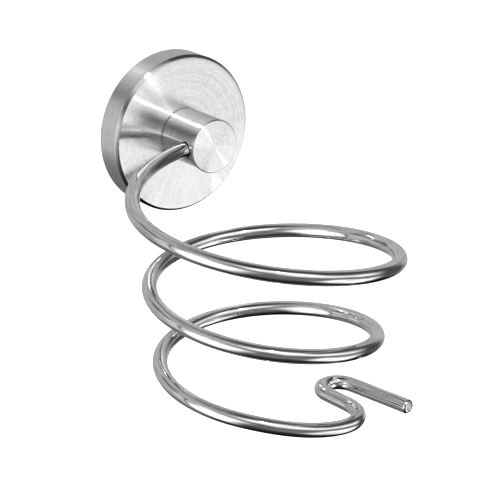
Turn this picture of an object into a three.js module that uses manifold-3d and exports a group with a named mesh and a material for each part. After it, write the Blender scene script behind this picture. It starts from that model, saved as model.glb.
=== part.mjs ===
// Hair dryer holder: a round wall rosette, a short post and one bent wire that coils
// down into a nest for the dryer and ends in an S-shaped cable hook.
// Millimetres, +Z up. The wall is the plane y = 0 and the room lies towards -Y.
import * as THREE from 'three';
import { mergeVertices } from 'three/addons/utils/BufferGeometryUtils.js';
import Module from 'manifold-3d';

const wasm = await Module();
wasm.setup();

// ---- driving dimensions -------------------------------------------------------------
const GAP = 0.3; // clearance between faces that meet
const TURNED_SIDES = 72; // facets round a large turned part
const SMALL_SIDES = 28; // facets round a screw, pin or hole

const WIRE_RADIUS = 2.5;
const WIRE_SIDES = 14;
const WIRE_STEPS = 230;

const COVER_RADIUS = 29;
const COVER_DEPTH = 10.7; // from the wall to the rosette's front face
const COVER_WALL = 2;
const COVER_CHAMFER = 1;

const BRACKET_DEPTH = 6.5;
const BRACKET_FLOOR = 1.8; // material left under the centre pocket
const BRACKET_FLAT = 24; // height of the grub screw's flat below the centre
const POCKET_RADIUS = 8;
const WALL_SCREW_OFFSET = 16;
const WALL_SCREW_HOLE = 2.25;
const COUNTERSINK_RADIUS = 4.5;

const POST_RADIUS = 9.7;
const POST_FRONT = 29.5; // from the wall to the post's end face
const POST_CHAMFER = 0.3;

const WIRE_HOLE_DEPTH = 25; // from the wall to the wire hole in the post
const WIRE_HOLE_DROP = 1; // the wire enters a little under the post's axis
const WIRE_END_IN_POST = 3; // the wire's hidden end reaches past the post's axis

const SCREW_RADIUS = 2.95; // M6 post screw and clamp screw
const SCREW_HEAD_RADIUS = 5;
const SCREW_HEAD_DEPTH = 4;
const WASHER_RADIUS = 6;
const WASHER_DEPTH = 1;
const POST_SCREW_TIP = 16.5;

const PIN_RADIUS = 1.3;
const PIN_HEIGHT = 6.3; // pin's place above the post's axis
const PIN_TIP = 14.5;

const GRUB_RADIUS = 1.9; // M4 grub screw
const GRUB_DEPTH = 4; // from the wall to its axis

const COIL_CENTRE = new THREE.Vector3(-16.8, -84.3, 0);
const COIL_RADIUS = 46.9;
const COIL_TAPER = 7.47; // radius lost in the first turn
const COIL_TAPER_EASING = 0.91; // and won back, per turn squared
const COIL_PITCH = 30.3; // drop in the first turn
const COIL_PITCH_EASING = 1.07;
const COIL_FIRST_TURN = 0.175; // turns counted from the point nearest the wall
const COIL_LAST_TURN = 2.36;

const HOOK_HEIGHT = -70.3; // the hook lies level
const HOOK_BEND_RADIUS = 12.2;
const HOOK_BEND_CENTRE = new THREE.Vector3(-10.4, -107.8, HOOK_HEIGHT);
const HOOK_INNER_LEG = 10.6; // length of the leg that runs back into the coil
const HOOK_INNER_SPLAY = 0.06; // radians the inner leg turns towards the coil
const HAIRPIN_RADIUS = 6.4;
const HOOK_OUTER_LEG = 25;
const HOOK_OUTER_SPLAY = 0.17; // radians the outer leg turns away from the coil

// ---- materials ----------------------------------------------------------------------
const brushedSteel = () =>
  new THREE.MeshStandardMaterial({ color: 0xb9b9b7, roughness: 0.34, metalness: 1 });
const polishedWire = () =>
  new THREE.MeshStandardMaterial({ color: 0xd2d3d4, roughness: 0.1, metalness: 1 });
const castZinc = () =>
  new THREE.MeshStandardMaterial({ color: 0x9a9b9c, roughness: 0.55, metalness: 1 });
const screwSteel = () =>
  new THREE.MeshStandardMaterial({ color: 0xa6a7a8, roughness: 0.3, metalness: 1 });

// ---- small tools --------------------------------------------------------------------
// A closed three.js geometry as a manifold solid.
function solid(geometry) {
  const bare = geometry.clone();
  bare.deleteAttribute('normal');
  bare.deleteAttribute('uv');
  const merged = mergeVertices(bare);
  const index = Array.from(merged.index.array);
  const triVerts = [];
  for (let i = 0; i < index.length; i += 3) {
    const [a, b, c] = index.slice(i, i + 3);
    if (a !== b && b !== c && c !== a) {
      triVerts.push(a, b, c);
    }
  }
  return new wasm.Manifold(
    new wasm.Mesh({
      numProp: 3,
      vertProperties: new Float32Array(merged.attributes.position.array),
      triVerts: new Uint32Array(triVerts),
    }),
  );
}

// A manifold solid as a three.js geometry.
function geometryOf(body) {
  const mesh = body.getMesh();
  const geometry = new THREE.BufferGeometry();
  geometry.setAttribute('position', new THREE.BufferAttribute(mesh.vertProperties, 3));
  geometry.setIndex(new THREE.BufferAttribute(mesh.triVerts, 1));
  geometry.computeVertexNormals();
  return geometry;
}

// A turned solid about the Y axis from [radius, depth] pairs. Depth is counted from the
// wall into the room, and the outline runs from the front, round the outside, to the back.
function turned(outline, sides) {
  const points = outline.map(([radius, depth]) => new THREE.Vector2(radius, -depth));
  return solid(new THREE.LatheGeometry(points, sides));
}

// A cylinder along Y at (x, z) between two depths.
function drilled(radius, nearDepth, farDepth, x = 0, z = 0, sides = SMALL_SIDES) {
  const outline = [[0, farDepth], [radius, farDepth], [radius, nearDepth], [0, nearDepth]];
  return turned(outline, sides).translate([x, 0, z]);
}

// A hexagon socket along Y between two depths.
function hexSocket(acrossFlats, nearDepth, farDepth) {
  return drilled(acrossFlats / Math.sqrt(3), nearDepth, farDepth, 0, 0, 6);
}

function named(name, body, material) {
  const mesh = new THREE.Mesh(geometryOf(body), material);
  mesh.name = name;
  return mesh;
}

// ---- wall side ----------------------------------------------------------------------
// Disc screwed to the wall. The rosette slips over it and hides it. Its lower edge is
// milled flat for the grub screw, and the centre pocket clears the post screw's head.
function wallBracket() {
  const radius = COVER_RADIUS - COVER_WALL - GAP;
  const edge = 0.7;
  let body = turned(
    [
      [0, BRACKET_FLOOR],
      [POCKET_RADIUS, BRACKET_FLOOR],
      [POCKET_RADIUS, BRACKET_DEPTH],
      [radius - edge, BRACKET_DEPTH],
      [radius, BRACKET_DEPTH - edge],
      [radius, 0],
      [0, 0],
    ],
    TURNED_SIDES,
  );
  for (const side of [-1, 1]) {
    const x = side * WALL_SCREW_OFFSET;
    const sink = COUNTERSINK_RADIUS - WALL_SCREW_HOLE;
    const countersink = turned(
      [
        [0, BRACKET_DEPTH + 1],
        [COUNTERSINK_RADIUS + 1, BRACKET_DEPTH + 1],
        [WALL_SCREW_HOLE, BRACKET_DEPTH - sink],
        [0, BRACKET_DEPTH - sink],
      ],
      SMALL_SIDES,
    ).translate([x, 0, 0]);
    body = body.subtract(drilled(WALL_SCREW_HOLE, -1, BRACKET_DEPTH + 1, x)).subtract(countersink);
  }
  const below = new THREE.BoxGeometry(80, 40, 20);
  below.translate(0, 0, -BRACKET_FLAT - 10);
  body = body.subtract(solid(below));
  return named('wall_bracket', body, castZinc());
}

// ---- rosette ------------------------------------------------------------------------
// Round cup, open towards the wall, with a chamfered front edge.
function rosetteCover() {
  const inner = COVER_RADIUS - COVER_WALL;
  const centreHole = SCREW_RADIUS + GAP;
  const outline = [
    [centreHole, COVER_DEPTH],
    [COVER_RADIUS - COVER_CHAMFER, COVER_DEPTH],
    [COVER_RADIUS, COVER_DEPTH - COVER_CHAMFER],
    [COVER_RADIUS, GAP],
    [inner, GAP],
    [inner, COVER_DEPTH - COVER_WALL],
    [centreHole, COVER_DEPTH - COVER_WALL],
    [centreHole, COVER_DEPTH],
  ];
  const grubHole = drilled(GRUB_RADIUS + GAP, -COVER_RADIUS - 2, -BRACKET_FLAT)
    .rotate([-90, 0, 0])
    .translate([0, -GRUB_DEPTH, 0]);
  const body = turned(outline, TURNED_SIDES)
    .subtract(drilled(PIN_RADIUS + GAP, 0, COVER_DEPTH + 1, 0, PIN_HEIGHT))
    .subtract(grubHole);
  return named('rosette_cover', body, brushedSteel());
}

// M4 grub screw under the rosette. It bears on the bracket's flat.
function rosetteGrubScrew() {
  const tip = BRACKET_FLAT + GAP;
  const end = COVER_RADIUS - GAP;
  const cone = 0.6;
  const body = turned(
    [
      [0, end],
      [GRUB_RADIUS, end],
      [GRUB_RADIUS, tip + cone],
      [GRUB_RADIUS - cone, tip],
      [0, tip],
    ],
    SMALL_SIDES,
  )
    .subtract(hexSocket(2, end - 2, end + 1))
    .rotate([90, 0, 0])
    .translate([0, -GRUB_DEPTH, 0]);
  return named('rosette_grub_screw', body, screwSteel());
}

// ---- post and what is inside it -----------------------------------------------------
// Solid turned post with a threaded bore from behind and a blind cross hole for the wire.
function post() {
  const back = COVER_DEPTH + GAP;
  const wireHole = drilled(WIRE_RADIUS + 0.4, -WIRE_END_IN_POST - GAP, POST_RADIUS + 3)
    .rotate([0, 0, -90])
    .translate([0, -WIRE_HOLE_DEPTH, -WIRE_HOLE_DROP]);
  const body = turned(
    [
      [0, POST_FRONT],
      [POST_RADIUS - POST_CHAMFER, POST_FRONT],
      [POST_RADIUS, POST_FRONT - POST_CHAMFER],
      [POST_RADIUS, back],
      [0, back],
    ],
    48,
  )
    .subtract(drilled(SCREW_RADIUS + GAP, 0, WIRE_HOLE_DEPTH - WIRE_RADIUS))
    .subtract(drilled(PIN_RADIUS + GAP, 0, PIN_TIP + GAP, 0, PIN_HEIGHT))
    .subtract(wireHole);
  return named('post', body, brushedSteel());
}

// M6 socket screw that pulls the post against the rosette.
function postScrew() {
  const seat = COVER_DEPTH - COVER_WALL - GAP - WASHER_DEPTH - GAP;
  const back = seat - SCREW_HEAD_DEPTH;
  const edge = 0.5;
  const body = turned(
    [
      [0, POST_SCREW_TIP],
      [SCREW_RADIUS - edge, POST_SCREW_TIP],
      [SCREW_RADIUS, POST_SCREW_TIP - edge],
      [SCREW_RADIUS, seat],
      [SCREW_HEAD_RADIUS, seat],
      [SCREW_HEAD_RADIUS, back + edge],
      [SCREW_HEAD_RADIUS - edge, back],
      [0, back],
    ],
    SMALL_SIDES,
  ).subtract(hexSocket(4, back - 1, back + 2.5));
  return named('post_screw', body, screwSteel());
}

function postWasher() {
  const back = COVER_DEPTH - COVER_WALL - GAP - WASHER_DEPTH;
  const front = back + WASHER_DEPTH;
  const body = drilled(WASHER_RADIUS, back, front).subtract(
    drilled(SCREW_RADIUS + GAP, back - 1, front + 1),
  );
  return named('post_washer', body, screwSteel());
}

// Dowel that stops the post, and so the coil, from turning in the rosette.
function indexPin() {
  const body = drilled(PIN_RADIUS, COVER_DEPTH - COVER_WALL + GAP, PIN_TIP, 0, PIN_HEIGHT);
  return named('index_pin', body, screwSteel());
}

// Set screw inside the post that clamps the wire in its cross hole.
function clampScrew() {
  const tip = WIRE_HOLE_DEPTH - WIRE_RADIUS - GAP;
  const back = POST_SCREW_TIP + 2 * GAP;
  const body = drilled(SCREW_RADIUS, back, tip).subtract(hexSocket(3, back - 1, back + 2.5));
  return named('clamp_screw', body, screwSteel());
}

// ---- the bent wire ------------------------------------------------------------------
// A point of the coil, n turns on from the point nearest the wall. Seen from above the
// wire runs anticlockwise: from the wall to the left, to the front and round to the right.
function coilPoint(n) {
  const angle = Math.PI / 2 + 2 * Math.PI * n;
  const radius = COIL_RADIUS - COIL_TAPER * n + COIL_TAPER_EASING * n * n;
  const drop = COIL_PITCH * n - COIL_PITCH_EASING * n * n;
  return new THREE.Vector3(radius * Math.cos(angle), radius * Math.sin(angle), -drop).add(COIL_CENTRE);
}

function coilDirection(n) {
  const step = 1e-4;
  return coilPoint(n + step).sub(coilPoint(n - step)).normalize();
}

// A smooth run from one point and heading to another; the lengths set how hard it pulls.
function blend(start, heading, pull, end, endHeading, endPull, count) {
  const curve = new THREE.CubicBezierCurve3(
    start,
    start.clone().addScaledVector(heading, pull),
    end.clone().addScaledVector(endHeading, -endPull),
    end,
  );
  return curve.getPoints(count);
}

// Level arc about a centre, from one bearing to another (radians from +X, seen from above).
function levelArc(centre, radius, from, to, count) {
  const points = [];
  for (let i = 0; i <= count; i += 1) {
    const bearing = from + ((to - from) * i) / count;
    const spoke = new THREE.Vector3(Math.cos(bearing), Math.sin(bearing), 0);
    points.push(spoke.multiplyScalar(radius).add(centre));
  }
  return points;
}

function straight(start, heading, length, count) {
  const points = [];
  for (let i = 1; i <= count; i += 1) {
    points.push(start.clone().addScaledVector(heading, (length * i) / count));
  }
  return points;
}

function wireCentreline() {
  const left = new THREE.Vector3(-1, 0, 0);
  const right = new THREE.Vector3(1, 0, 0);
  const back = new THREE.Vector3(0, 1, 0);

  // out of the post and round into the coil
  const hidden = new THREE.Vector3(WIRE_END_IN_POST, -WIRE_HOLE_DEPTH, -WIRE_HOLE_DROP);
  const mouth = hidden.clone().setX(1 - POST_RADIUS);
  const coilStart = coilPoint(COIL_FIRST_TURN);
  const coilStartHeading = coilDirection(COIL_FIRST_TURN);
  const points = [hidden, hidden.clone().lerp(mouth, 0.5)];
  points.push(...blend(mouth, left, 4, coilStart, coilStartHeading, 30, 10));

  // down the coil
  const coilSteps = 60;
  for (let i = 1; i <= coilSteps; i += 1) {
    points.push(coilPoint(THREE.MathUtils.lerp(COIL_FIRST_TURN, COIL_LAST_TURN, i / coilSteps)));
  }

  // level out along the front, then bend back into the coil
  const runEnd = coilPoint(COIL_LAST_TURN);
  const bendStart = HOOK_BEND_CENTRE.clone().setY(HOOK_BEND_CENTRE.y - HOOK_BEND_RADIUS);
  const pull = runEnd.distanceTo(bendStart) / 3;
  const run = blend(runEnd, coilDirection(COIL_LAST_TURN), pull, bendStart, right, pull, 6);
  points.push(...run.slice(1));
  const bend = levelArc(HOOK_BEND_CENTRE, HOOK_BEND_RADIUS, -Math.PI / 2, HOOK_INNER_SPLAY, 8);
  points.push(...bend.slice(1));

  // inner leg, hairpin and outer leg
  const up = new THREE.Vector3(0, 0, 1);
  const inward = back.clone().applyAxisAngle(up, HOOK_INNER_SPLAY);
  const across = right.clone().applyAxisAngle(up, HOOK_INNER_SPLAY);
  const inner = straight(bend.at(-1), inward, HOOK_INNER_LEG, 3);
  const hairpinCentre = inner.at(-1).clone().addScaledVector(across, HAIRPIN_RADIUS);
  const hairpinStart = Math.PI + HOOK_INNER_SPLAY;
  const hairpin = levelArc(hairpinCentre, HAIRPIN_RADIUS, hairpinStart, HOOK_OUTER_SPLAY, 10);
  const outward = new THREE.Vector3(Math.sin(HOOK_OUTER_SPLAY), -Math.cos(HOOK_OUTER_SPLAY), 0);
  const outer = straight(hairpin.at(-1), outward, HOOK_OUTER_LEG, 5);
  points.push(...inner, ...hairpin.slice(1), ...outer);

  const curve = new THREE.CatmullRomCurve3(points, false, 'centripetal');
  curve.arcLengthDivisions = 3000;
  return curve;
}

// One wire: clamped end, arm, coil and cable hook.
function coilWire() {
  const section = new THREE.Shape();
  for (let i = 0; i < WIRE_SIDES; i += 1) {
    const turn = (2 * Math.PI * i) / WIRE_SIDES;
    const x = WIRE_RADIUS * Math.cos(turn);
    const y = WIRE_RADIUS * Math.sin(turn);
    if (i === 0) {
      section.moveTo(x, y);
    } else {
      section.lineTo(x, y);
    }
  }
  section.closePath();
  const tube = new THREE.ExtrudeGeometry(section, {
    steps: WIRE_STEPS,
    extrudePath: wireCentreline(),
  });
  return named('coil_wire', solid(tube), polishedWire());
}

// ---- assembly -----------------------------------------------------------------------
const holder = new THREE.Group();
holder.add(
  wallBracket(),
  rosetteCover(),
  rosetteGrubScrew(),
  post(),
  postScrew(),
  postWasher(),
  indexPin(),
  clampScrew(),
  coilWire(),
);

export default holder;
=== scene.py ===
"""Looks of the hair dryer holder: turned steel rosette and post, polished coil wire.

Metres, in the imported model's own frame: +Z up, the wall is the plane y = 0 and the room
lies towards -Y, so the rosette, the post and the screws inside them share the Y axis.
"""

import math

import bmesh
import bpy
from mathutils import Matrix, Vector


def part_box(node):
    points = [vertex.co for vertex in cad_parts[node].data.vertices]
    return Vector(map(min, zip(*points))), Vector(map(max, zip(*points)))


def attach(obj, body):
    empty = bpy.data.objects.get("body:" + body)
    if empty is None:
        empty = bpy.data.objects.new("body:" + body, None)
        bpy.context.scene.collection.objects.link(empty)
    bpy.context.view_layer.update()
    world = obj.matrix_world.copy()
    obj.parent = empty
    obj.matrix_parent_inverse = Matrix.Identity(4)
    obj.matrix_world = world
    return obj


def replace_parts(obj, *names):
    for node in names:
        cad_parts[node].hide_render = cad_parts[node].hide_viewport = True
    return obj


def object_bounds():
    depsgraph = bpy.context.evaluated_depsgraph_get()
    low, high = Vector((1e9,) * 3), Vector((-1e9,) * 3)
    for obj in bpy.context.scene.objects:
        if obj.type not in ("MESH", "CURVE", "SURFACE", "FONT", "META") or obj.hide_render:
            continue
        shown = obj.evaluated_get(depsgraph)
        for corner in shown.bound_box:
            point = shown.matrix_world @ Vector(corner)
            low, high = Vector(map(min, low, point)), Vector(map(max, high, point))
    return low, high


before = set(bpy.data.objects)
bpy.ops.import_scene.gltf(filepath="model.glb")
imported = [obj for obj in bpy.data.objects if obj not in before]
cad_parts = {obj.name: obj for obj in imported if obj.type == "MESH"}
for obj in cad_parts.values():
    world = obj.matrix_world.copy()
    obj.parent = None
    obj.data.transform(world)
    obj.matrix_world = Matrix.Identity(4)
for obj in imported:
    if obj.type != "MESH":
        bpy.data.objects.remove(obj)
CAD_LOW, CAD_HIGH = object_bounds()

MM = 0.001
HALF_TURN = math.pi
FULL_TURN = 2 * math.pi

# ---- sizes read from the frame ------------------------------------------------------
COVER_LOW, COVER_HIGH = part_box("rosette_cover")
POST_LOW, POST_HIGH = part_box("post")
BRACKET_LOW, BRACKET_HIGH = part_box("wall_bracket")
GRUB_LOW, GRUB_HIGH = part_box("rosette_grub_screw")
POST_SCREW_LOW, POST_SCREW_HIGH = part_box("post_screw")
_, WASHER_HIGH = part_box("post_washer")

COVER_RADIUS = COVER_HIGH.x
COVER_WALL = 2 * MM
COVER_CHAMFER = 1 * MM
FLOOR_DROP = 150 * MM
POST_RADIUS = POST_HIGH.x
POST_CHAMFER = 0.3 * MM
GAP = 0.3 * MM
SCREW_BORE = POST_SCREW_HIGH.z - 1.75 * MM  # radius of the clearance hole for M6
WELD = 0.0005 * MM  # reach of the weld that closes a cut's slivers

# ---- the wire's route, as the CAD wire runs ------------------------------------------
WIRE_RADIUS = 2.5 * MM
WIRE_SIDES = 40
WIRE_HOLE = Vector((0, -25, -1)) * MM  # where the cross hole meets the post's axis
WIRE_END = 3 * MM  # the hidden end, past the post's axis
COIL_CENTRE = Vector((-16.8, -84.3, 0)) * MM
COIL_RADIUS = 46.9 * MM
COIL_TAPER = 7.47 * MM
COIL_TAPER_EASING = 0.91 * MM
COIL_PITCH = 30.3 * MM
COIL_PITCH_EASING = 1.07 * MM
COIL_TURNS = (0.175, 2.36)
HOOK_BEND_CENTRE = Vector((-10.4, -107.8, -70.3)) * MM
HOOK_BEND_RADIUS = 12.2 * MM
HOOK_INNER_LEG = 10.6 * MM
HOOK_INNER_SPLAY = 0.06
HAIRPIN_RADIUS = 6.4 * MM
HOOK_OUTER_LEG = 25 * MM
HOOK_OUTER_SPLAY = 0.17

# ---- camera --------------------------------------------------------------------------
CAMERA_AZIMUTH = math.radians(-38.66)
CAMERA_ELEVATION = math.radians(19.07)
CAMERA_ROLL = math.radians(2.95)
CAMERA_DISTANCE = 641.4 * MM
CAMERA_TARGET = Vector((6.05, -44.9, -35.1)) * MM
CAMERA_LENS = 129.9  # millimetres on a 36 mm sensor

# ---- studio --------------------------------------------------------------------------
# Brightness of the walls by height, in degrees above level, in front and behind.
FRONT_WALL = [
    (-90, 0.004),
    (-72, 0.015),
    (-50, 0.04),
    (-38, 0.08),
    (-25, 0.18),
    (0, 0.16),
    (20, 0.17),
    (45, 0.48),
    (62, 0.42),
    (75, 0.10),
    (90, 0.01),
]
BACK_WALL = [
    (-90, 0.004),
    (-75, 0.010),
    (-65, 0.04),
    (-50, 0.20),
    (-25, 0.43),
    (20, 0.48),
    (50, 0.44),
    (62, 0.35),
    (75, 0.13),
    (90, 0.03),
]
# Panels: bearing and height of the centre, tilt, half width, half height and softness of
# the edge, all in degrees, then brightness. Later panels hang in front, and the darkest
# are flags. They are set so that the wire mirrors the bands it shows in the photograph.
PANELS = [
    (78, 24, 4, 24, 56, 11, 0.08),
    (101, -51, 8, 19, 20, 9, 0.002),
    (-87, -7, -33, 26, 32, 14, 1.8),
    (-124, -7, -8, 12, 24, 4, 0.65),
    (-117, -5, 0, 1.5, 34, 2, 0.15),
    (-13, 52, 5, 25, 12, 8, 1.2),
    (28, 30, -17, 42, 10, 13, 1.2),
    (35, -28, -20, 24, 17, 9, 1.38),
    (-147, 27, 0, 14, 6, 5, 0.12),
    (-168, -42, 0, 34, 11, 8, 0.18),
]
# A compact lamp, which draws the narrow streaks on the turned steel.
KEY_DIRECTION = (-0.137, -0.596, 0.7925)
KEY_DISTANCE = 1.2
KEY_SIZE = 0.08
KEY_POWER = 20

# ---- node helpers --------------------------------------------------------------------
def new_material(name):
    """A node material and its Principled shader."""
    material = bpy.data.materials.new(name)
    material.use_nodes = True
    return material, material.node_tree.nodes["Principled BSDF"]


def ramp(tree, source, stops):
    """A colour ramp over source, from (position, grey or colour) pairs."""
    node = tree.nodes.new("ShaderNodeValToRGB")
    elements = node.color_ramp.elements
    while len(elements) < len(stops):
        elements.new(0.5)
    for element, (position, value) in zip(elements, stops):
        colour = value if isinstance(value, tuple) else (value, value, value)
        element.position = position
        element.color = (*colour, 1)
    tree.links.new(source, node.inputs["Fac"])
    return node.outputs["Color"]


def noise(tree, vector, scale, detail, roughness):
    """Noise over a vector, as a grey value."""
    node = tree.nodes.new("ShaderNodeTexNoise")
    node.inputs["Scale"].default_value = scale
    node.inputs["Detail"].default_value = detail
    node.inputs["Roughness"].default_value = roughness
    tree.links.new(vector, node.inputs["Vector"])
    return node.outputs["Fac"]


def math_node(tree, operation, first, second):
    """A Math node; each input is a socket or a number."""
    node = tree.nodes.new("ShaderNodeMath")
    node.operation = operation
    for socket, value in zip(node.inputs, (first, second)):
        if isinstance(value, (int, float)):
            socket.default_value = value
        else:
            tree.links.new(value, socket)
    return node.outputs["Value"]


def smooth_step(tree, value, low, high):
    """0 below low and 1 above high, with a soft change between them."""
    node = tree.nodes.new("ShaderNodeMapRange")
    node.interpolation_type = "SMOOTHSTEP"
    node.inputs["From Min"].default_value = min(low, high)
    node.inputs["From Max"].default_value = max(low, high)
    if low > high:
        node.inputs["To Min"].default_value = 1
        node.inputs["To Max"].default_value = 0
    tree.links.new(value, node.inputs["Value"])
    return node.outputs["Result"]


def bump(tree, height, distance):
    """Bump from a height in 0..1 that stands for distance metres."""
    node = tree.nodes.new("ShaderNodeBump")
    node.inputs["Distance"].default_value = distance
    node.inputs["Strength"].default_value = 1
    tree.links.new(height, node.inputs["Height"])
    return node.outputs["Normal"]


def object_coordinates(tree):
    return tree.nodes.new("ShaderNodeTexCoord").outputs["Object"]


def vector_node(tree, operation, first, second=None):
    """A Vector Math node; each input is a socket or three numbers."""
    node = tree.nodes.new("ShaderNodeVectorMath")
    node.operation = operation
    for socket, value in zip(node.inputs, (first, second)):
        if isinstance(value, bpy.types.NodeSocket):
            tree.links.new(value, socket)
        elif value is not None:
            socket.default_value = value
    return node.outputs["Value" if operation in ("DOT_PRODUCT", "LENGTH") else "Vector"]


def from_axis(tree):
    """The unit vector away from the Y axis, as (x, z, 0), and the distance from it."""
    split = tree.nodes.new("ShaderNodeSeparateXYZ")
    tree.links.new(object_coordinates(tree), split.inputs["Vector"])
    join = tree.nodes.new("ShaderNodeCombineXYZ")
    tree.links.new(split.outputs["X"], join.inputs["X"])
    tree.links.new(split.outputs["Z"], join.inputs["Y"])
    radius = vector_node(tree, "LENGTH", join.outputs["Vector"])
    return vector_node(tree, "NORMALIZE", join.outputs["Vector"]), radius


def lathe_coordinates(tree, pitch):
    """Coordinates for marks left by turning: X runs across them, and YZ goes round the
    axis on a circle of radius pitch, which draws the marks out."""
    around, radius = from_axis(tree)
    split = tree.nodes.new("ShaderNodeSeparateXYZ")
    tree.links.new(object_coordinates(tree), split.inputs["Vector"])
    turn = tree.nodes.new("ShaderNodeSeparateXYZ")
    tree.links.new(around, turn.inputs["Vector"])
    join = tree.nodes.new("ShaderNodeCombineXYZ")
    tree.links.new(math_node(tree, "ADD", radius, split.outputs["Y"]), join.inputs["X"])
    tree.links.new(math_node(tree, "MULTIPLY", turn.outputs["X"], pitch), join.inputs["Y"])
    tree.links.new(math_node(tree, "MULTIPLY", turn.outputs["Y"], pitch), join.inputs["Z"])
    return join.outputs["Vector"]


def grooved_normal(tree, slope):
    """The surface normal, tipped by slope across marks that run round the Y axis."""
    place = object_coordinates(tree)
    normal = tree.nodes.new("ShaderNodeNewGeometry").outputs["Normal"]
    around = vector_node(tree, "CROSS_PRODUCT", place, (0, 1, 0))
    across = vector_node(tree, "CROSS_PRODUCT", normal, around)
    across = vector_node(tree, "NORMALIZE", across)
    scale = tree.nodes.new("ShaderNodeVectorMath")
    scale.operation = "SCALE"
    tree.links.new(across, scale.inputs["Vector"])
    tree.links.new(slope, scale.inputs["Scale"])
    tipped = vector_node(tree, "ADD", normal, scale.outputs["Vector"])
    return vector_node(tree, "NORMALIZE", tipped)


# ---- materials -----------------------------------------------------------------------
def turned_steel(name, colour, roughness, flanks):
    """Stainless steel with fine marks all the way round the Y axis. Roughness is that
    along the marks, and flanks is how far the finest ones lean across them. Chatter of
    the tool makes both a little uneven round the axis."""
    material, shader = new_material(name)
    tree = material.node_tree
    around, _ = from_axis(tree)
    fine = noise(tree, lathe_coordinates(tree, 0), scale=42000, detail=1, roughness=0.5)
    rings = noise(tree, lathe_coordinates(tree, 0.25 * MM), scale=2400, detail=3, roughness=0.8)
    grain = noise(tree, lathe_coordinates(tree, 9 * MM), scale=1700, detail=3, roughness=0.8)
    chatter = noise(tree, around, scale=7, detail=3, roughness=0.6)
    smudge = noise(tree, object_coordinates(tree), scale=60, detail=3, roughness=0.5)

    tone = math_node(tree, "MULTIPLY", rings, 0.5)
    tone = math_node(tree, "ADD", tone, math_node(tree, "MULTIPLY", grain, 0.9))
    stops = [(0.35, 0.70), (0.70, 0.95), (0.95, 1.06)]
    shade = ramp(
        tree,
        tone,
        [(place, tuple(min(1, c * gain) for c in colour)) for place, gain in stops],
    )
    tree.links.new(shade, shader.inputs["Base Color"])

    uneven = math_node(tree, "ADD", smudge, chatter)
    uneven = math_node(tree, "MULTIPLY", uneven, 0.5)
    rough = ramp(tree, uneven, [(0.35, roughness * 0.8), (0.65, roughness * 1.25)])
    tree.links.new(rough, shader.inputs["Roughness"])

    lean = math_node(tree, "MULTIPLY", chatter, 2 * flanks)
    flank = math_node(tree, "MULTIPLY", math_node(tree, "SUBTRACT", fine, 0.5), lean)
    waviness = math_node(tree, "MULTIPLY", math_node(tree, "SUBTRACT", rings, 0.5), 0.14)
    slope = math_node(tree, "ADD", flank, waviness)
    tree.links.new(grooved_normal(tree, slope), shader.inputs["Normal"])
    tangent = tree.nodes.new("ShaderNodeTangent")
    tangent.direction_type = "RADIAL"
    tangent.axis = "Y"
    tree.links.new(tangent.outputs["Tangent"], shader.inputs["Tangent"])
    shader.inputs["Metallic"].default_value = 1
    shader.inputs["Anisotropic"].default_value = 1
    shader.inputs["Anisotropic Rotation"].default_value = 0.25
    return material


def painted_shade_steel(name, colour, roughness):
    """Painted shade: near-black steel for the walls of a drilled hole or a hidden face, standing
    for the shade in these recesses and gaps, with a mottled tone, roughness and bump.
    """
    material, shader = new_material(name)
    tree = material.node_tree
    place = object_coordinates(tree)
    mottle = noise(tree, place, scale=900, detail=4, roughness=0.6)
    tint = ramp(tree, mottle, [(0.3, tuple(c * 0.6 for c in colour)), (0.7, colour)])
    tree.links.new(tint, shader.inputs["Base Color"])
    rough = ramp(tree, mottle, [(0.3, roughness * 0.8), (0.7, roughness * 1.2)])
    tree.links.new(rough, shader.inputs["Roughness"])
    tree.links.new(bump(tree, mottle, 0.01 * MM), shader.inputs["Normal"])
    shader.inputs["Metallic"].default_value = 0.8
    return material


def drawn_wire(name, colour, roughness):
    """Polished round wire: fine marks along its length, over the wire's UV map."""
    material, shader = new_material(name)
    tree = material.node_tree
    uv = tree.nodes.new("ShaderNodeUVMap")
    uv.uv_map = "along"
    stretch = tree.nodes.new("ShaderNodeMapping")
    stretch.inputs["Scale"].default_value = (24, 70, 1)
    tree.links.new(uv.outputs["UV"], stretch.inputs["Vector"])
    lines = noise(tree, stretch.outputs["Vector"], scale=1, detail=4, roughness=0.75)
    haze = noise(tree, object_coordinates(tree), scale=220, detail=4, roughness=0.6)

    rough = ramp(tree, haze, [(0.3, roughness * 0.75), (0.7, roughness * 1.4)])
    tree.links.new(rough, shader.inputs["Roughness"])
    dull = (colour[0] * 0.60, colour[1] * 0.61, colour[2] * 0.64)
    tint = ramp(tree, lines, [(0.39, dull), (0.54, colour)])
    tree.links.new(tint, shader.inputs["Base Color"])
    tree.links.new(bump(tree, lines, 0.001 * MM), shader.inputs["Normal"])
    shader.inputs["Metallic"].default_value = 1
    return material


def cast_metal(name, colour, roughness):
    """Die-cast zinc: a fine grain, with darker and lighter flow patches."""
    material, shader = new_material(name)
    tree = material.node_tree
    place = object_coordinates(tree)
    grain = noise(tree, place, scale=2600, detail=3, roughness=0.6)
    flow = noise(tree, place, scale=90, detail=4, roughness=0.6)
    tint = ramp(tree, flow, [(0.3, tuple(c * 0.82 for c in colour)), (0.7, colour)])
    tree.links.new(tint, shader.inputs["Base Color"])
    rough = ramp(tree, grain, [(0.3, roughness * 0.8), (0.7, roughness * 1.2)])
    tree.links.new(rough, shader.inputs["Roughness"])
    tree.links.new(bump(tree, grain, 0.03 * MM), shader.inputs["Normal"])
    shader.inputs["Metallic"].default_value = 1
    return material


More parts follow.
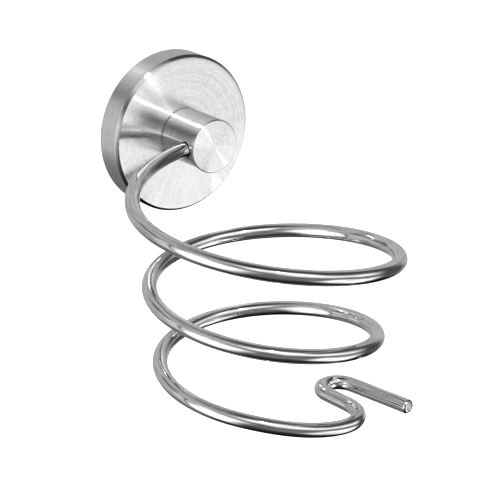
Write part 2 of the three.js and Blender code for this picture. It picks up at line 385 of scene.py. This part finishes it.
# ---- mesh helpers --------------------------------------------------------------------
def filleted(outline, radius, steps=4):
    """The outline with each inner corner rounded, points as (radius, y) pairs."""
    points = [Vector(p) for p in outline]
    rounded = [points[0]]
    for before, corner, after in zip(points, points[1:], points[2:]):
        back, forward = before - corner, after - corner
        angle = back.angle(forward)
        reach = radius / math.tan(angle / 2)
        reach = min(reach, 0.45 * back.length, 0.45 * forward.length)
        start = corner + back.normalized() * reach
        end = corner + forward.normalized() * reach
        for i in range(steps + 1):
            t = i / steps
            rounded.append((1 - t) ** 2 * start + 2 * t * (1 - t) * corner + t * t * end)
    rounded.append(points[-1])
    return [tuple(p) for p in rounded]


def subdivided(outline, longest):
    """The outline with its long stretches split, so that shading follows the shape."""
    fine = [outline[0]]
    for start, end in zip(outline, outline[1:]):
        span = math.dist(start, end)
        count = max(1, math.ceil(span / longest))
        for i in range(1, count + 1):
            t = i / count
            fine.append((start[0] + (end[0] - start[0]) * t, start[1] + (end[1] - start[1]) * t))
    return fine


def lathe(name, outline, sides=192, ripple=None):
    """A mesh turned about the Y axis. The outline runs from the front, round the outside,
    to the back, as (radius, y) pairs. ripple(angle, radius, y) may add to the radius."""
    shape = bmesh.new()
    rows = []
    for radius, y in outline:
        if radius < 1e-7:
            rows.append([shape.verts.new((0, y, 0))])
            continue
        row = []
        for i in range(sides):
            angle = FULL_TURN * i / sides
            r = radius + (ripple(angle, radius, y) if ripple else 0)
            row.append(shape.verts.new((r * math.sin(angle), y, r * math.cos(angle))))
        rows.append(row)
    closed = math.dist(outline[0], outline[-1]) < 1e-9
    if closed:
        for vert in rows[-1]:
            shape.verts.remove(vert)
        rows[-1] = rows[0]
    for lower, upper in zip(rows, rows[1:]):
        for i in range(sides):
            j = (i + 1) % sides
            corners = [lower[i % len(lower)], lower[j % len(lower)]]
            corners += [upper[j % len(upper)], upper[i % len(upper)]]
            corners = list(dict.fromkeys(corners))
            if len(corners) > 2:
                shape.faces.new(corners)
    return finished(name, shape)


def finished(name, shape):
    """A linked object from a bmesh, smooth but for its edges."""
    bmesh.ops.recalc_face_normals(shape, faces=shape.faces)
    mesh = bpy.data.meshes.new(name)
    shape.to_mesh(mesh)
    shape.free()
    piece = bpy.data.objects.new(name, mesh)
    bpy.context.scene.collection.objects.link(piece)
    smooth(piece)
    return piece


def smooth(piece, angle=math.radians(38)):
    mesh = piece.data
    mesh.shade_smooth()
    mesh.set_sharp_from_angle(angle=angle)


def cut(piece, *cutters):
    """Cuts each cutter out of the piece, and removes it."""
    for cutter in cutters:
        modifier = piece.modifiers.new("cut", "BOOLEAN")
        modifier.operation = "DIFFERENCE"
        modifier.solver = "EXACT"
        modifier.object = cutter
    bpy.context.view_layer.update()
    evaluated = piece.evaluated_get(bpy.context.evaluated_depsgraph_get())
    mesh = bpy.data.meshes.new_from_object(evaluated)
    piece.modifiers.clear()
    old = piece.data
    piece.data = mesh
    mesh.name = old.name
    bpy.data.meshes.remove(old)
    for cutter in cutters:
        bpy.data.meshes.remove(cutter.data)
    close_seams(mesh)
    smooth(piece)
    return piece


def close_seams(mesh):
    """Welds the slivers that a cut leaves along its edge, so that the mesh stays closed."""
    shape = bmesh.new()
    shape.from_mesh(mesh)
    bmesh.ops.remove_doubles(shape, verts=shape.verts, dist=WELD)
    bmesh.ops.dissolve_degenerate(shape, edges=shape.edges, dist=WELD)
    bmesh.ops.triangulate(shape, faces=[f for f in shape.faces if len(f.verts) > 4])
    shape.to_mesh(mesh)
    shape.free()


def transformed(piece, matrix):
    """Moves a new piece's mesh, so that its object stays at the origin."""
    piece.data.transform(matrix)
    return piece


def rod(name, radius, near, far, sides=64):
    """A plain cylinder along Y, from y = near to y = far (far is the lower)."""
    return lathe(name, [(0, far), (radius, far), (radius, near), (0, near)], sides)


def hexagon(name, across_flats, near, far):
    return rod(name, across_flats / math.sqrt(3), near, far, 6)


def onto_z(y):
    """The matrix that turns a shape made along -Y to point along -Z, at a depth y."""
    return Matrix.Translation((0, y, 0)) @ Matrix.Rotation(HALF_TURN / 2, 4, "X")


def dress(piece, body, slot, *materials):
    """Materials and the body that the piece rides on; the slot argument is not used."""
    for material in materials:
        piece.data.materials.append(material)
    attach(piece, body)
    return piece


def paint(piece, index, wanted):
    """Gives the faces that wanted(centre, normal) picks the material of that index."""
    for face in piece.data.polygons:
        if wanted(face.center, face.normal):
            face.material_index = index


def thread(pitch, depth, low, high):
    """A ripple for lathe(): a screw thread between two places along Y."""
    def ripple(angle, radius, y):
        if not low < y < high:
            return 0
        turn = (y / pitch + angle / FULL_TURN) % 1
        run_out = min(1, (y - low) / pitch, (high - y) / pitch)
        return -depth * run_out * (1 - abs(2 * turn - 1))
    return ripple


# ---- rosette, bracket and screws -----------------------------------------------------
def rosette_shell(brushed, edge, dark):
    """Cup with a chamfered front edge, a centre hole and the grub's hole."""
    inner = COVER_RADIUS - COVER_WALL
    back_of_face = COVER_LOW.y + COVER_WALL
    hole = SCREW_BORE
    outline = [
        (hole, (COVER_LOW.y + back_of_face) / 2),
        (hole, COVER_LOW.y),
        (COVER_RADIUS - COVER_CHAMFER, COVER_LOW.y),
        (COVER_RADIUS, COVER_LOW.y + COVER_CHAMFER),
        (COVER_RADIUS, COVER_HIGH.y),
        (inner, COVER_HIGH.y),
        (inner, back_of_face),
        (hole, back_of_face),
        (hole, (COVER_LOW.y + back_of_face) / 2),
    ]
    outline = subdivided(filleted(outline, 0.09 * MM), 1.5 * MM)
    piece = lathe("rosette_shell", outline, 256)
    grub_radius = GRUB_HIGH.x + GAP
    grub_hole = rod("grub_hole", grub_radius, BRACKET_LOW.z, -COVER_RADIUS - 2 * MM)
    transformed(grub_hole, onto_z((GRUB_LOW.y + GRUB_HIGH.y) / 2))
    cut(piece, grub_hole)
    dress(piece, "holder", "brushed_steel", brushed, edge, dark)
    # The chamfer gets the darker, bluish painted-shade copy of the steel.
    paint(piece, 1, on_chamfer)
    # The cup's inside and its holes get the near-black painted shade.
    paint(piece, 2, inside_cover)
    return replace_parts(piece, "rosette_cover")


def on_chamfer(centre, normal):
    """True on a front edge's chamfer, which leans forwards and outwards."""
    outward = Vector((centre.x, 0, centre.z)).normalized().dot(normal)
    return normal.y < -0.35 and outward > 0.35


def inside_cover(centre, normal):
    """True on the walls of the cup's inside and of its holes."""
    outward = Vector((centre.x, 0, centre.z)).normalized().dot(normal)
    return outward < -0.5 or normal.y > 0.5 and centre.y < COVER_HIGH.y - 1 * MM


def inside_post(centre, normal):
    """True on the walls of the post's holes and on its back face."""
    beside_axis = math.hypot(centre.x, centre.z) < POST_RADIUS - 0.1 * MM
    return beside_axis and centre.y > POST_LOW.y + 0.5 * MM


def on_post_side(centre, normal):
    """True on faces that look away from the Y axis, not along it."""
    return abs(normal.y) < 0.3


def post_body(brushed, edge, dark, side):
    """Turned post with its cross hole for the wire."""
    outline = [
        (0, POST_LOW.y),
        (POST_RADIUS - POST_CHAMFER, POST_LOW.y),
        (POST_RADIUS, POST_LOW.y + POST_CHAMFER),
        (POST_RADIUS, POST_HIGH.y),
        (0, POST_HIGH.y),
    ]
    outline = subdivided(filleted(outline, 0.08 * MM), 0.8 * MM)
    piece = lathe("post_body", outline, 192)
    wire_hole = rod("wire_hole", WIRE_RADIUS + 0.4 * MM, WIRE_END + GAP, -POST_RADIUS - 3 * MM)
    turn = Matrix.Rotation(-HALF_TURN / 2, 4, "Z")
    transformed(wire_hole, Matrix.Translation(WIRE_HOLE) @ turn)
    bore_end = WIRE_HOLE.y + WIRE_RADIUS
    bore = rod("bore", SCREW_BORE, POST_HIGH.y + 1 * MM, bore_end)
    cut(piece, wire_hole, bore)
    dress(piece, "holder", "brushed_steel", brushed, edge, dark, side)
    # The side gets the darker painted-shade copy of the steel.
    paint(piece, 3, on_post_side)
    # The chamfer gets the darker, bluish painted-shade copy of the steel.
    paint(piece, 1, on_chamfer)
    # The post's holes and back face get the near-black painted shade, which darkens the joint
    # round the post.
    paint(piece, 2, inside_post)
    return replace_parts(piece, "post")


def bracket_disc(cast):
    """Wall disc: pocket in the middle, two countersunk holes, a flat for the grub screw."""
    radius, front = BRACKET_HIGH.z, BRACKET_LOW.y
    pocket, floor = 8 * MM, -1.8 * MM
    edge = 0.7 * MM
    outline = [
        (0, floor),
        (pocket, floor),
        (pocket, front),
        (radius - edge, front),
        (radius, front + edge),
        (radius, BRACKET_HIGH.y),
        (0, BRACKET_HIGH.y),
    ]
    piece = lathe("bracket_disc", subdivided(filleted(outline, 0.25 * MM), 2 * MM), 192)
    screw_hole, sink, offset = 2.25 * MM, 4.5 * MM, 16 * MM
    cutters = []
    for side in (-1, 1):
        cone = [
            (0, front - 1 * MM),
            (sink + 1 * MM, front - 1 * MM),
            (screw_hole, front + sink - screw_hole),
            (screw_hole, 1 * MM),
            (0, 1 * MM),
        ]
        cutter = lathe("countersink", cone, 64)
        cutters.append(transformed(cutter, Matrix.Translation((side * offset, 0, 0))))
    below = bmesh.new()
    bmesh.ops.create_cube(below, size=1)
    below.transform(Matrix.Diagonal((0.1, 0.1, 0.02, 1)))
    below.transform(Matrix.Translation((0, 0, BRACKET_LOW.z - 0.01)))
    cutters.append(finished("flat", below))
    cut(piece, *cutters)
    dress(piece, "wall_side", "cast_zinc", cast)
    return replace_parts(piece, "wall_bracket")


def grub_screw(steel):
    """M4 socket grub screw, threaded, with a chamfered tip."""
    radius = GRUB_HIGH.x
    tip, end = GRUB_HIGH.z, GRUB_LOW.z
    cone = 0.45 * MM
    outline = [
        (0, end),
        (radius - 0.3 * MM, end),
        (radius, end + 0.3 * MM),
        (radius, tip - cone),
        (radius - cone, tip),
        (0, tip),
    ]
    pitch = 0.7 * MM
    outline = subdivided(outline, pitch / 8)
    ripple = thread(pitch, 0.32 * MM, end + 0.1 * MM, tip - 0.2 * MM)
    piece = lathe("grub_screw_body", outline, 48, ripple)
    cut(piece, hexagon("socket", 2 * MM, end + 2 * MM, end - 1 * MM))
    transformed(piece, onto_z((GRUB_LOW.y + GRUB_HIGH.y) / 2))
    dress(piece, "grub_screw", "screw_steel", steel)
    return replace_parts(piece, "rosette_grub_screw")


def socket_screw(steel):
    """M6 socket screw through the rosette into the post."""
    head, shank = POST_SCREW_HIGH.x, POST_SCREW_HIGH.x - 2.05 * MM
    seat = WASHER_HIGH.y + GAP
    tip, back = POST_SCREW_LOW.y, POST_SCREW_HIGH.y
    outline = [
        (0, tip),
        (shank - 0.5 * MM, tip),
        (shank, tip + 0.5 * MM),
        (shank, seat),
        (head, seat),
        (head, back),
        (0, back),
    ]
    outline = subdivided(filleted(outline, 0.3 * MM), 0.25 * MM)
    ripple = thread(1 * MM, 0.45 * MM, tip + 0.1 * MM, POST_HIGH.y)
    piece = lathe("post_screw_body", outline, 64, ripple)
    cut(piece, hexagon("socket", 4 * MM, back + 1 * MM, back - 2.5 * MM))
    dress(piece, "holder", "screw_steel", steel)
    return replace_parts(piece, "post_screw")


# ---- the wire ------------------------------------------------------------------------
def coil_point(n):
    """A point of the coil, n turns on from the point nearest the wall."""
    angle = FULL_TURN * (n + 0.25)
    radius = COIL_RADIUS - COIL_TAPER * n + COIL_TAPER_EASING * n * n
    drop = COIL_PITCH * n - COIL_PITCH_EASING * n * n
    return COIL_CENTRE + Vector((radius * math.cos(angle), radius * math.sin(angle), -drop))


def coil_direction(n):
    step = 1e-4
    return (coil_point(n + step) - coil_point(n - step)).normalized()


def blend(start, heading, pull, end, end_heading, end_pull, count):
    """Points of a smooth run from one place and heading to another, start left out."""
    near, far = start + heading * pull, end - end_heading * end_pull
    points = []
    for i in range(1, count + 1):
        t = i / count
        u = 1 - t
        points.append(u**3 * start + 3 * u * u * t * near + 3 * u * t * t * far + t**3 * end)
    return points


def level_arc(centre, radius, start, end, count):
    """Points of a level arc between two bearings, start left out."""
    points = []
    for i in range(1, count + 1):
        bearing = start + (end - start) * i / count
        points.append(centre + radius * Vector((math.cos(bearing), math.sin(bearing), 0)))
    return points


def straight(start, heading, length, count):
    return [start + heading * (length * i / count) for i in range(1, count + 1)]


def wire_route():
    """Points from the clamped end, round the coil and hook, to the tip."""
    left, right, back = Vector((-1, 0, 0)), Vector((1, 0, 0)), Vector((0, 1, 0))
    first, last = COIL_TURNS
    hidden = WIRE_HOLE + right * WIRE_END
    mouth = WIRE_HOLE + left * (POST_RADIUS - 1 * MM)
    points = [hidden]
    points += straight(hidden, left, (mouth - hidden).length, 12)
    points += blend(mouth, left, 4 * MM, coil_point(first), coil_direction(first), 30 * MM, 70)

    steps = 720
    points += [coil_point(first + (last - first) * i / steps) for i in range(1, steps + 1)]

    bend_start = HOOK_BEND_CENTRE - back * HOOK_BEND_RADIUS
    pull = (bend_start - points[-1]).length / 3
    points += blend(points[-1], coil_direction(last), pull, bend_start, right, pull, 40)
    points += level_arc(HOOK_BEND_CENTRE, HOOK_BEND_RADIUS, -HALF_TURN / 2, HOOK_INNER_SPLAY, 30)

    turn = Matrix.Rotation(HOOK_INNER_SPLAY, 3, "Z")
    points += straight(points[-1], turn @ back, HOOK_INNER_LEG, 14)
    hairpin_centre = points[-1] + turn @ right * HAIRPIN_RADIUS
    hairpin_start = HALF_TURN + HOOK_INNER_SPLAY
    points += level_arc(hairpin_centre, HAIRPIN_RADIUS, hairpin_start, HOOK_OUTER_SPLAY, 40)
    outward = Vector((math.sin(HOOK_OUTER_SPLAY), -math.cos(HOOK_OUTER_SPLAY), 0))
    points += straight(points[-1], outward, HOOK_OUTER_LEG, 24)
    return points


def relaxed(points, rounds):
    """Eases the steps in curvature where the route's stretches meet; the ends stay."""
    for _ in range(rounds):
        middle = [
            (before + 2 * here + after) / 4
            for before, here, after in zip(points, points[1:], points[2:])
        ]
        points = [points[0], *middle, points[-1]]
    return points


def wire_rings(points):
    """(centre, side, up, radius) for each ring of the wire, its tip's face included."""
    headings = [(b - a).normalized() for a, b in zip(points, points[1:])]
    headings.append(headings[-1])
    side = headings[0].orthogonal().normalized()
    rings = []
    for point, heading in zip(points, headings):
        side = (side - heading * side.dot(heading)).normalized()
        rings.append((point, side, heading.cross(side), WIRE_RADIUS))
    tip, side, up, _ = rings.pop()
    heading = headings[-1]
    # How far the tip's face lies back, and its radius: chamfer, ring groove, dimple.
    face = [
        (0.75, 2.5),
        (0.62, 2.48),
        (0.08, 1.98),
        (0, 1.86),
        (0, 1.35),
        (0.12, 1.24),
        (0.12, 1.06),
        (0, 0.95),
        (0, 0.5),
        (0.18, 0.36),
        (0.22, 0.12),
    ]
    for set_back, radius in face:
        rings.append((tip - heading * (set_back * MM), side, up, radius * MM))
    return rings


def coil_rod(drawn):
    """The whole wire as one swept mesh, with a map along its length for the draw marks."""
    shape = bmesh.new()
    uv = shape.loops.layers.uv.new("along")
    rings = wire_rings(relaxed(wire_route(), 6))
    rows = []
    for centre, side, up, radius in rings:
        row = []
        for i in range(WIRE_SIDES):
            angle = FULL_TURN * i / WIRE_SIDES
            spoke = side * math.cos(angle) + up * math.sin(angle)
            row.append(shape.verts.new(centre + spoke * radius))
        rows.append(row)
    travelled = 0
    for lower, upper, here, there in zip(rows, rows[1:], rings, rings[1:]):
        step = max((there[0] - here[0]).length, abs(there[3] - here[3]))
        for i in range(WIRE_SIDES):
            j = (i + 1) % WIRE_SIDES
            face = shape.faces.new((lower[i], lower[j], upper[j], upper[i]))
            places = [(i, 0), (i + 1, 0), (i + 1, step), (i, step)]
            for loop, (place, along) in zip(face.loops, places):
                loop[uv].uv = (place / WIRE_SIDES, travelled + along)
        travelled += step
    shape.faces.new(list(reversed(rows[0])))
    shape.faces.new(rows[-1])
    piece = finished("coil_rod", shape)
    dress(piece, "holder", "polished_wire", drawn)
    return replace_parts(piece, "coil_wire")


# ---- stage ---------------------------------------------------------------------------
def mixed(tree, factor, first, second):
    """First where the factor is 0 and second where it is 1; second may be a grey."""
    node = tree.nodes.new("ShaderNodeMix")
    node.data_type = "RGBA"  # its colour sockets are inputs 6 and 7 and output 2
    tree.links.new(factor, node.inputs[0])
    tree.links.new(first, node.inputs[6])
    if isinstance(second, (int, float)):
        node.inputs[7].default_value = (second, second, second, 1)
    else:
        tree.links.new(second, node.inputs[7])
    return node.outputs[2]


def bearing_vector(bearing, height):
    """The direction at that bearing, from -Y towards +X, and that height, in degrees."""
    bearing, height = math.radians(bearing), math.radians(height)
    level = math.cos(height)
    return Vector((math.sin(bearing) * level, -math.cos(bearing) * level, math.sin(height)))


def studio_panel(tree, direction, room, panel):
    """The room's light with one soft-edged panel hung in it."""
    bearing, height, tilt, width, tall, edge, brightness = panel
    centre = bearing_vector(bearing, height)
    level = Vector((0, 0, 1)).cross(centre).normalized()
    across = Matrix.Rotation(math.radians(tilt), 3, centre) @ level
    upward = centre.cross(across)
    mask = smooth_step(tree, vector_node(tree, "DOT_PRODUCT", direction, centre), 0, 0.1)
    for axis, size in ((across, width), (upward, tall)):
        offset = math_node(tree, "ABSOLUTE", vector_node(tree, "DOT_PRODUCT", direction, axis), 0)
        inside, outside = (math.sin(math.radians(size + e)) for e in (-edge, edge))
        mask = math_node(tree, "MULTIPLY", mask, smooth_step(tree, offset, outside, inside))
    return mixed(tree, mask, room, brightness)


def studio_world():
    """A studio for the metal to mirror: grey walls, a dark ceiling and dark below, dark
    flags and soft white panels. What the camera sees directly is plain pale grey."""
    world = bpy.data.worlds.new("studio")
    bpy.context.scene.world = world
    world.use_nodes = True
    tree = world.node_tree
    tree.nodes.clear()
    direction = tree.nodes.new("ShaderNodeTexCoord").outputs["Generated"]
    split = tree.nodes.new("ShaderNodeSeparateXYZ")
    tree.links.new(direction, split.inputs["Vector"])
    height = math_node(tree, "MULTIPLY_ADD", split.outputs["Z"], 0.5)
    height.node.inputs[2].default_value = 0.5

    front, back = (
        ramp(tree, height, [((math.sin(math.radians(e)) + 1) / 2, grey) for e, grey in stops])
        for stops in (FRONT_WALL, BACK_WALL)
    )
    room = mixed(tree, smooth_step(tree, split.outputs["Y"], -0.3, 0.3), front, back)
    for panel in PANELS:
        room = studio_panel(tree, direction, room, panel)

    mirrored = tree.nodes.new("ShaderNodeBackground")
    tree.links.new(room, mirrored.inputs["Color"])
    backdrop = tree.nodes.new("ShaderNodeBackground")
    rays = tree.nodes.new("ShaderNodeLightPath")
    choose = tree.nodes.new("ShaderNodeMixShader")
    tree.links.new(rays.outputs["Is Camera Ray"], choose.inputs["Fac"])
    tree.links.new(mirrored.outputs["Background"], choose.inputs[1])
    tree.links.new(backdrop.outputs["Background"], choose.inputs[2])
    output = tree.nodes.new("ShaderNodeOutputWorld")
    tree.links.new(choose.outputs["Shader"], output.inputs["Surface"])


def pale_floor():
    """Wide pale floor well below the holder. It is left out of mirror reflections."""
    bpy.ops.mesh.primitive_plane_add(size=30, location=(0, 0, CAD_LOW.z - FLOOR_DROP))
    floor = bpy.context.object
    floor.name = "floor"
    material, shader = new_material("pale_floor")
    shader.inputs["Base Color"].default_value = (0.95, 0.95, 0.95, 1)
    shader.inputs["Roughness"].default_value = 0.9
    shader.inputs["Emission Color"].default_value = (1, 1, 1, 1)
    shader.inputs["Emission Strength"].default_value = 0.65
    floor.data.materials.append(material)
    floor.visible_glossy = False


def softbox(name, direction, distance, size, power):
    """A square area light that faces the holder from that direction."""
    centre = (CAD_LOW + CAD_HIGH) / 2
    light = bpy.data.lights.new(name, "AREA")
    light.shape = "SQUARE"
    light.size = size
    light.energy = power
    lamp = bpy.data.objects.new(name, light)
    towards = Vector(direction).normalized()
    lamp.location = centre + towards * distance
    lamp.rotation_euler = towards.to_track_quat("Z", "Y").to_euler()
    lamp.visible_camera = False
    bpy.context.scene.collection.objects.link(lamp)


def photo_camera():
    data = bpy.data.cameras.new("camera")
    data.lens = CAMERA_LENS
    data.sensor_width = 36
    data.clip_start, data.clip_end = 0.01, 100
    camera = bpy.data.objects.new("camera", data)
    level = math.cos(CAMERA_ELEVATION)
    back = Vector(
        (
            math.sin(CAMERA_AZIMUTH) * level,
            -math.cos(CAMERA_AZIMUTH) * level,
            math.sin(CAMERA_ELEVATION),
        )
    )
    aim = (-back).to_track_quat("-Z", "Y").to_matrix().to_4x4()
    roll = Matrix.Rotation(CAMERA_ROLL, 4, "Z")
    place = Matrix.Translation(CAMERA_TARGET + back * CAMERA_DISTANCE)
    camera.matrix_world = place @ aim @ roll
    bpy.context.scene.collection.objects.link(camera)
    bpy.context.scene.camera = camera


# ---- the scene -----------------------------------------------------------------------
photo_camera()
studio_world()
pale_floor()
softbox("key", KEY_DIRECTION, KEY_DISTANCE, KEY_SIZE, KEY_POWER)
bpy.context.scene.view_settings.view_transform = "Standard"

face_steel = turned_steel("turned_face_steel", (0.91, 0.90, 0.903), 0.20, 0.3)
# Painted shade: the post's side is the same turned steel as the face, given a darker colour that
# stands for the darker reflections along it.
shaded_side_steel = turned_steel("turned_side_steel_painted_shade", (0.74, 0.732, 0.736), 0.10, 0.25)
# Painted shade and painted reflection: the chamfers are the same turned steel as the face, given
# a darker, bluish colour that stands for the dark blue reflections along the edges.
shaded_edge_steel = turned_steel("turned_edge_steel_painted_shade", (0.55, 0.57, 0.61), 0.10, 0.1)
# Painted shade: a near-black steel on the walls of the holes, the cup's inside and the post's
# back face, standing for the shade in these recesses and the joint round the post.
recess_painted_shade = painted_shade_steel("bore_painted_shade_steel", (0.16, 0.16, 0.165), 0.5)
wire_steel = drawn_wire("drawn_wire", (0.92, 0.922, 0.93), 0.045)
zinc = cast_metal("cast_zinc", (0.56, 0.565, 0.575), 0.5)
machined = turned_steel("machined_screw_steel", (0.62, 0.62, 0.63), 0.3, 0.3)

rosette_shell(face_steel, shaded_edge_steel, recess_painted_shade)
post_body(face_steel, shaded_edge_steel, recess_painted_shade, shaded_side_steel)
bracket_disc(zinc)
grub_screw(machined)
socket_screw(machined)
coil_rod(wire_steel)
for node in ("post_washer", "index_pin", "clamp_screw"):
    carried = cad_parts[node]
    carried.data.materials.clear()
    carried.data.materials.append(machined)
